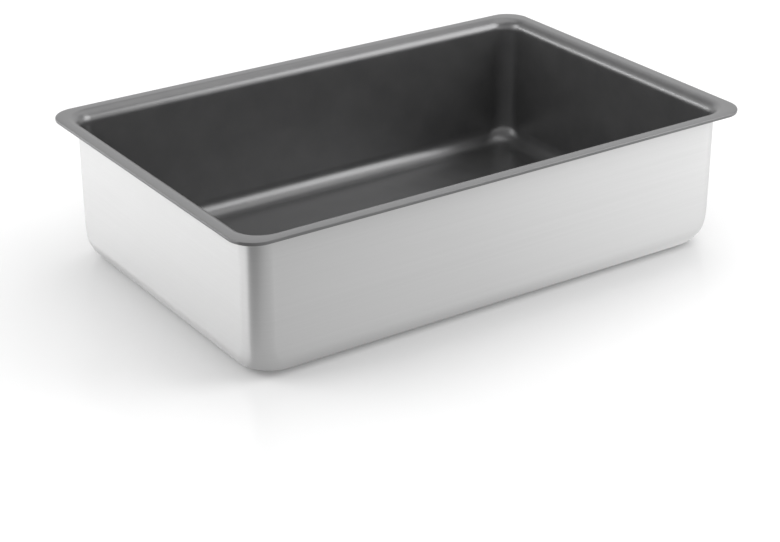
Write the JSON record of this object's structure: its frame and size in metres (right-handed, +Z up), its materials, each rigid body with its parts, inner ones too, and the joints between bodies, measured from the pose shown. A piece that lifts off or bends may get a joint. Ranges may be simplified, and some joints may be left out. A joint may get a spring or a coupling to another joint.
{
  "type": "bread tin",
  "caption": "Deep rectangular bread tin drawn from aluminium sheet, with upright walls, round corners, a flat turned-out rim and a dark non-stick lining, for baking a rye loaf.",
  "frame": {"origin": "middle of the base, on the surface that the tin stands on", "axes": "+X along the tin's length, +Y across its width, +Z up towards the open top"},
  "size_m": [0.3, 0.198, 0.076],
  "materials": {
    "satin_aluminium": "satin, drawn",
    "nonstick_film": "baked non-stick coating with a low sheen"
  },
  "bodies": {
    "root": {"tin_body": "satin_aluminium", "nonstick_lining": "nonstick_film"}
  },
  "joints": []
}
